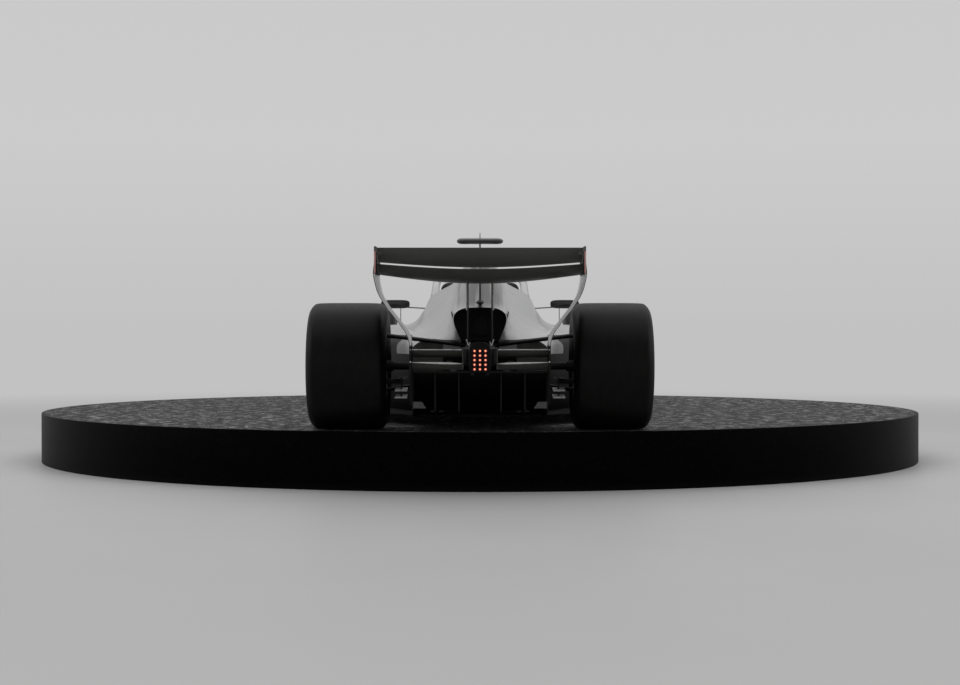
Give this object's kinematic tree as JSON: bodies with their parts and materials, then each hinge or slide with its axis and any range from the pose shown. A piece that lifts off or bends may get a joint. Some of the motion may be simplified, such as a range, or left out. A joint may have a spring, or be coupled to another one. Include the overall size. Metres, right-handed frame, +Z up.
{
  "type": "open wheel racing car on a display plinth",
  "caption": "Single seat open wheel racing car with wings, halo and slick tyres, standing on a low round display plinth.",
  "frame": {"origin": "centre of the plinth's underside, on the floor", "axes": "+X to the car's right, +Y forward to its nose, +Z up"},
  "size_m": [6.14, 6.4745, 1.533],
  "materials": {
    "silver_paint": "satin",
    "carbon": "satin carbon fibre laminate",
    "gloss_carbon": "lacquered carbon fibre laminate",
    "tyre": "slick racing rubber",
    "rim_metal": "dark anodised",
    "upright_metal": "machined",
    "cast_metal": "cast",
    "exhaust_metal": "heat tinted",
    "lamp_black": "gloss",
    "padding": "woven",
    "plank_wood": "compressed laminate",
    "deck_stone": "rough, open grained on top, polished round its side"
  },
  "bodies": {
    "chassis": {"plinth": "deck_stone", "monocoque": "silver_paint", "nose_cone": "silver_paint", "front_wing": "carbon", "front_wing_endplates": "carbon", "halo": "silver_paint", "headrest": "padding", "seat": "carbon", "steering_wheel": "carbon", "engine_cover": "silver_paint", "sidepod_left": "silver_paint", "sidepod_right": "silver_paint", "floor": "carbon", "plank": "plank_wood", "diffuser": "carbon", "engine": "cast_metal", "gearbox": "carbon", "exhaust": "exhaust_metal", "rain_light": "lamp_black", "rear_wing_main": "carbon", "rear_wing_endplates": "carbon", "rear_wing_pylons": "carbon", "beam_wing": "carbon", "mirrors": "gloss_carbon", "camera_pod": "gloss_carbon", "front_suspension_left": "gloss_carbon", "front_suspension_right": "gloss_carbon", "rear_suspension_left": "gloss_carbon", "rear_suspension_right": "gloss_carbon", "rear_upright_left": "upright_metal", "rear_upright_right": "upright_metal"},
    "steering_left": {"front_upright_left": "upright_metal"},
    "steering_right": {"front_upright_right": "upright_metal"},
    "tie_left": {"track_rod_left": "gloss_carbon"},
    "tie_right": {"track_rod_right": "gloss_carbon"},
    "flap": {"rear_wing_flap": "carbon"},
    "wheel_front_left": {"rim_front_left": "rim_metal", "tyre_front_left": "tyre"},
    "wheel_front_right": {"rim_front_right": "rim_metal", "tyre_front_right": "tyre"},
    "wheel_rear_left": {"rim_rear_left": "rim_metal", "tyre_rear_left": "tyre"},
    "wheel_rear_right": {"rim_rear_right": "rim_metal", "tyre_rear_right": "tyre"}
  },
  "joints": [
    {"name": "steer_left", "type": "hinge", "parent": "chassis", "child": "steering_left", "pos_m": [-0.693, 0.88, 0.6903], "axis": [0, 0, 1], "range_deg": [-17, 17]},
    {"name": "tie_rod_left", "type": "hinge", "parent": "steering_left", "child": "tie_left", "pos_m": [-0.693, 0.998, 0.7596], "axis": [0, 0, 1], "range_deg": [-18, 18]},
    {"name": "spin_front_left", "type": "hinge", "parent": "steering_left", "child": "wheel_front_left", "pos_m": [-0.805, 0.88, 0.6903], "axis": [1, 0, 0], "continuous": true},
    {"name": "spin_rear_left", "type": "hinge", "parent": "chassis", "child": "wheel_rear_left", "pos_m": [-0.745, -2.72, 0.6903], "axis": [1, 0, 0], "continuous": true},
    {"name": "steer_right", "type": "hinge", "parent": "chassis", "child": "steering_right", "pos_m": [0.693, 0.88, 0.6903], "axis": [0, 0, 1], "range_deg": [-17, 17]},
    {"name": "tie_rod_right", "type": "hinge", "parent": "steering_right", "child": "tie_right", "pos_m": [0.693, 0.998, 0.7596], "axis": [0, 0, 1], "range_deg": [-18, 18]},
    {"name": "spin_front_right", "type": "hinge", "parent": "steering_right", "child": "wheel_front_right", "pos_m": [0.805, 0.88, 0.6903], "axis": [1, 0, 0], "continuous": true},
    {"name": "spin_rear_right", "type": "hinge", "parent": "chassis", "child": "wheel_rear_right", "pos_m": [0.745, -2.72, 0.6903], "axis": [1, 0, 0], "continuous": true},
    {"name": "flap_open", "type": "hinge", "parent": "chassis", "child": "flap", "pos_m": [0, -3.306, 1.312], "axis": [1, 0, 0], "range_deg": [0, 28]}
  ],
  "couplings": [
    {"joint": "steer_right", "follows": "steer_left", "ratio": 1},
    {"joint": "tie_rod_left", "follows": "steer_left", "ratio": -1},
    {"joint": "tie_rod_right", "follows": "steer_left", "ratio": -1}
  ]
}
